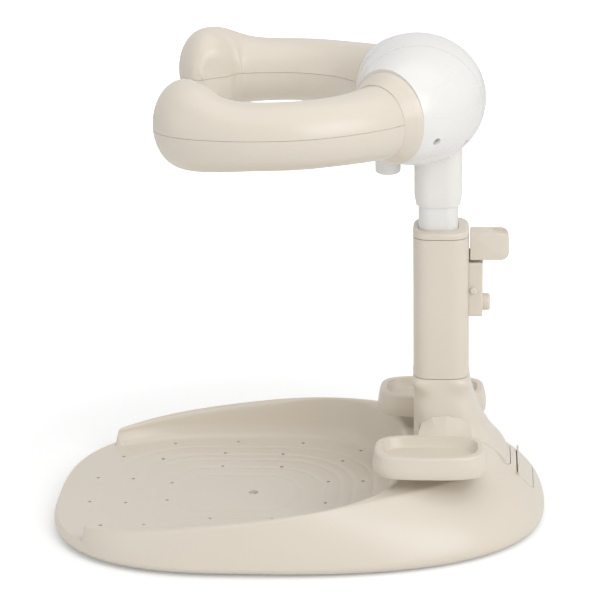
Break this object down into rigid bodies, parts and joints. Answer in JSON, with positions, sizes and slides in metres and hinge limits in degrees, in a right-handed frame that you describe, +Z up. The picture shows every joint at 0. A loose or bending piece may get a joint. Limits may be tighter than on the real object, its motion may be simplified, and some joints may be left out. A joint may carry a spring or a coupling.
{
  "type": "baby bath seat",
  "caption": "Free-standing baby bath seat: an open oval tub base, a telescopic post with a height latch, and a padded-looking ring of hinged arms, with side trays.",
  "frame": {"origin": "centre of the footprint, on the floor", "axes": "+Z up; -Y towards the open front of the tub, +Y towards the column; +X across"},
  "size_m": [0.3482, 0.4801, 0.469],
  "materials": {
    "beige_plastic": "satin moulded, warm beige",
    "white_plastic": "smooth moulded, warm white",
    "rubber": "soft, translucent grey",
    "steel": "plain"
  },
  "bodies": {
    "base": {"base_shell": "beige_plastic", "neck_cover": "beige_plastic", "hatch_pin": "steel", "bottom_cover": "beige_plastic", "suction_cups": "rubber", "bottom_screws": "steel", "column_flange": "white_plastic", "column_shell": "beige_plastic", "column_cap": "beige_plastic", "guide_bush": "white_plastic", "latch_housing": "beige_plastic", "housing_pin": "beige_plastic", "button_spring": "steel", "lever_pin": "steel"},
    "hatch": {"release_hatch": "beige_plastic"},
    "post": {"inner_tube": "white_plastic", "upper_sleeve": "white_plastic", "head_core": "white_plastic", "head_band": "white_plastic", "head_shell_right": "white_plastic", "head_shell_left": "white_plastic", "collar_right": "beige_plastic", "collar_left": "beige_plastic", "head_screws": "steel", "release_spring": "steel"},
    "arm_release": {"arm_release_button": "white_plastic", "lock_plate": "white_plastic"},
    "arm_right": {"arm_upper_right": "beige_plastic", "arm_lower_right": "beige_plastic", "arm_hub_right": "white_plastic", "arm_screws_right": "steel"},
    "arm_left": {"arm_upper_left": "beige_plastic", "arm_lower_left": "beige_plastic", "arm_hub_left": "white_plastic", "arm_screws_left": "steel"},
    "lever": {"height_lever": "beige_plastic"},
    "clamp": {"clamp_shoe": "rubber"},
    "lock_button": {"lock_button": "beige_plastic"},
    "tray_right": {"tray_right": "beige_plastic"},
    "tray_left": {"tray_left": "beige_plastic"}
  },
  "joints": [
    {"name": "post_slide", "type": "slide", "parent": "base", "child": "post", "axis": [0, 0, 1], "range_m": [-0.015, 0.06]},
    {"name": "lever_press", "type": "hinge", "parent": "base", "child": "lever", "pos_m": [0, 0.1708, 0.26], "axis": [-1, 0, 0], "range_deg": [0, 12], "stiffness_Nm_per_rad": 0.5, "springref_deg": -17.19},
    {"name": "clamp_slide", "type": "slide", "parent": "base", "child": "clamp", "axis": [0, 1, 0], "range_m": [0, 0.0016]},
    {"name": "lock_button_press", "type": "slide", "parent": "base", "child": "lock_button", "axis": [0, -1, 0], "range_m": [0, 0.003], "stiffness_N_per_m": 600, "springref_m": -0.002},
    {"name": "hatch_swing", "type": "hinge", "parent": "base", "child": "hatch", "pos_m": [0, 0.2146, 0.0501], "axis": [1, 0, 0], "range_deg": [0, 50]},
    {"name": "arm_release_pull", "type": "slide", "parent": "post", "child": "arm_release", "axis": [0, 0, -1], "range_m": [0, 0.004], "stiffness_N_per_m": 900, "springref_m": -0.002, "deforming": ["release_spring"]},
    {"name": "arm_right_swing", "type": "hinge", "parent": "post", "child": "arm_right", "pos_m": [0.08, 0.083, 0.409], "axis": [-0.7659, 0.6429, 0], "range_deg": [0, 85]},
    {"name": "arm_left_swing", "type": "hinge", "parent": "post", "child": "arm_left", "pos_m": [-0.08, 0.083, 0.409], "axis": [-0.7659, -0.6429, 0], "range_deg": [0, 85]},
    {"name": "tray_right_lift", "type": "slide", "parent": "base", "child": "tray_right", "axis": [1, 0, 0], "range_m": [0, 0.025]},
    {"name": "tray_left_lift", "type": "slide", "parent": "base", "child": "tray_left", "axis": [-1, 0, 0], "range_m": [0, 0.025]}
  ],
  "couplings": [
    {"joint": "clamp_slide", "follows": "lever_press", "m_per_rad": 0.0076}
  ]
}
